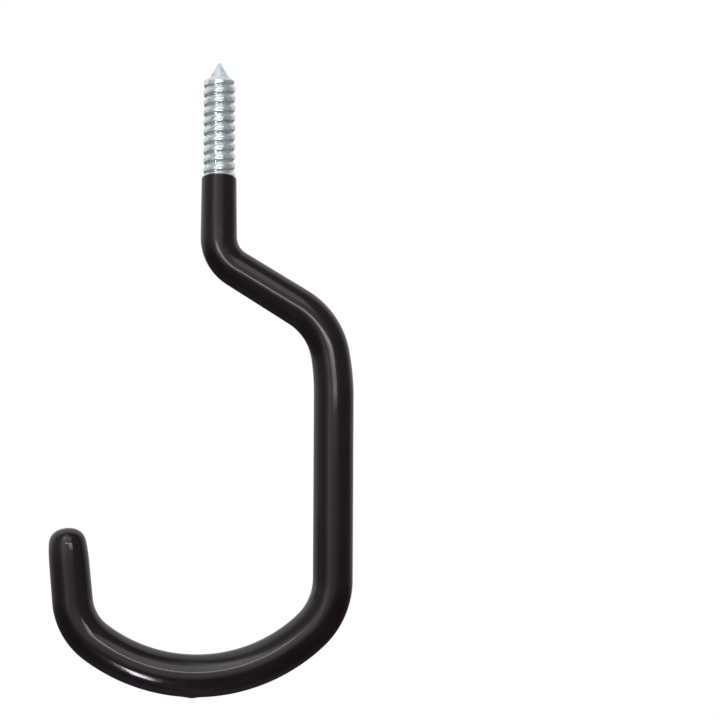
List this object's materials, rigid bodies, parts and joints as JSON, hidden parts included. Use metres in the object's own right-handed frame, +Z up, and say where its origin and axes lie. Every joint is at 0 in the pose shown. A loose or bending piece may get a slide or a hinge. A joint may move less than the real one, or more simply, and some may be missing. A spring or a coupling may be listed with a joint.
{
  "type": "screw-in storage hook",
  "caption": "Bent round-rod storage hook with a wood screw thread and point on top, an offset shank, a wide open cradle and a glossy dipped coating.",
  "frame": {"origin": "on the screw's axis, level with the highest point of the coating's rim, where the bare thread begins", "axes": "+Z up along the screw's axis towards its point, the hook lies in the XZ plane and opens towards -X, Y is square to the hook's plane"},
  "size_m": [0.0814, 0.0114, 0.1694],
  "materials": {
    "zinc_plated_steel": "bright zinc plate, slightly dull",
    "black_vinyl": "glossy dipped vinyl"
  },
  "bodies": {
    "root": {"steel_screw_rod": "zinc_plated_steel", "vinyl_coating": "black_vinyl"}
  },
  "joints": []
}
